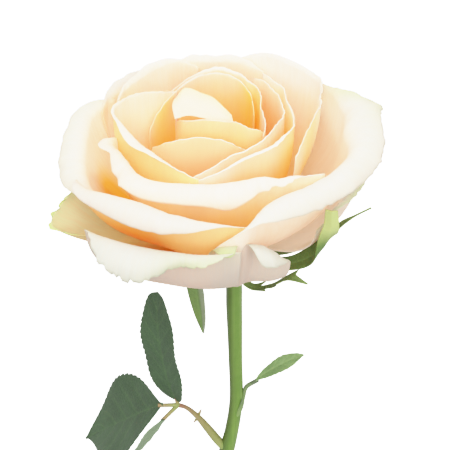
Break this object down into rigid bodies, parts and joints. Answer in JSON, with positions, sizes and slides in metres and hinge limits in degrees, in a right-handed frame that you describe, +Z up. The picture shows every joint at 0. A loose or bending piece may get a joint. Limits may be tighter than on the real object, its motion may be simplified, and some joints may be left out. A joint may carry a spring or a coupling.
{
  "type": "cut rose",
  "caption": "Fully open cut rose in cream and peach, lying on its side: layered bloom with rolled petals, calyx, prickled stem and leaves.",
  "frame": {"origin": "centre of the whole rose's box, on the surface it lies on", "axes": "+Y from the cut end of the stem towards the bloom, +Z up from the surface, +X to the right of the bloom seen from above"},
  "size_m": [0.1102, 0.3032, 0.1002],
  "materials": {
    "petals": "matte",
    "sepals": "matte",
    "stem": "satin",
    "leaf": "matte",
    "young_leaf": "matte"
  },
  "bodies": {
    "root": {"bloom": "petals", "calyx": "sepals", "stem": "stem", "leaf_left": "leaf", "leaf_right": "young_leaf"}
  },
  "joints": []
}
